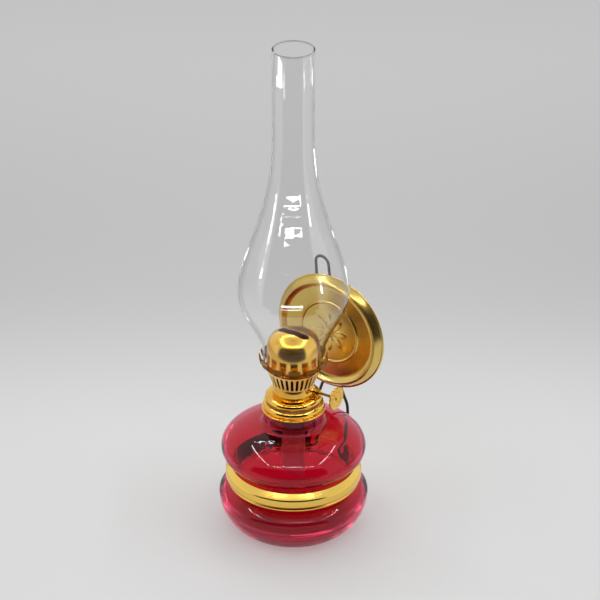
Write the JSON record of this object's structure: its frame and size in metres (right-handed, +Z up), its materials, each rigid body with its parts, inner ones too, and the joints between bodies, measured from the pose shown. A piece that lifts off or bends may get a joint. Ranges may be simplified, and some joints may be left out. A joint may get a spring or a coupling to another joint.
{
  "type": "kerosene lamp",
  "caption": "Glass oil lamp for table or wall: waisted font with metal band, flat-wick burner with side knob, bulbous chimney, and a round reflector on a wire hanger with a loop.",
  "frame": {"origin": "middle of the foot ring, on the surface that the lamp stands on", "axes": "+Z up along the lamp's axis, +Y towards the wall and the reflector, +X towards the wick knob"},
  "size_m": [0.0898, 0.0898, 0.311],
  "materials": {
    "ruby_glass": "gloss",
    "clear_glass": "gloss",
    "gilt_brass": "polished",
    "band_brass": "polished",
    "reflector_brass": "satin",
    "spindle_brass": "satin",
    "black_wire": "satin",
    "plaster": "matte",
    "cork": "matte",
    "cotton": "matte"
  },
  "bodies": {
    "lamp": {"font": "ruby_glass", "waist_band": "band_brass", "hanger_wire": "black_wire", "reflector": "reflector_brass", "reflector_straps": "reflector_brass", "collar": "gilt_brass", "plaster_bed": "plaster", "cork_washer": "cork"},
    "burner": {"burner_cap": "gilt_brass", "burner_barrel": "gilt_brass", "air_basket": "gilt_brass", "prong_crown": "gilt_brass", "dome": "gilt_brass", "wick_tube": "spindle_brass", "vent_tube": "spindle_brass", "wheel_case": "spindle_brass", "spindle_bush": "gilt_brass"},
    "winder": {"spindle": "spindle_brass", "star_wheels": "spindle_brass", "knob": "gilt_brass", "knob_rivet": "gilt_brass"},
    "wick": {"wick": "cotton"},
    "chimney": {"chimney": "clear_glass"}
  },
  "joints": [
    {"name": "burner_lift", "type": "slide", "parent": "lamp", "child": "burner", "axis": [0, 0, 1], "range_m": [0, 0.07]},
    {"name": "chimney_lift", "type": "slide", "parent": "burner", "child": "chimney", "axis": [0, 0, 1], "range_m": [0, 0.05]},
    {"name": "wick_knob", "type": "hinge", "parent": "burner", "child": "winder", "pos_m": [0, 0.0038, 0.09139], "axis": [1, 0, 0], "range_deg": [-180, 270]},
    {"name": "wick_lift", "type": "slide", "parent": "burner", "child": "wick", "axis": [0, 0, 1], "range_m": [-0.0117, 0.0078]}
  ],
  "couplings": [
    {"joint": "wick_knob", "follows": "wick_lift", "rad_per_m": -400}
  ]
}
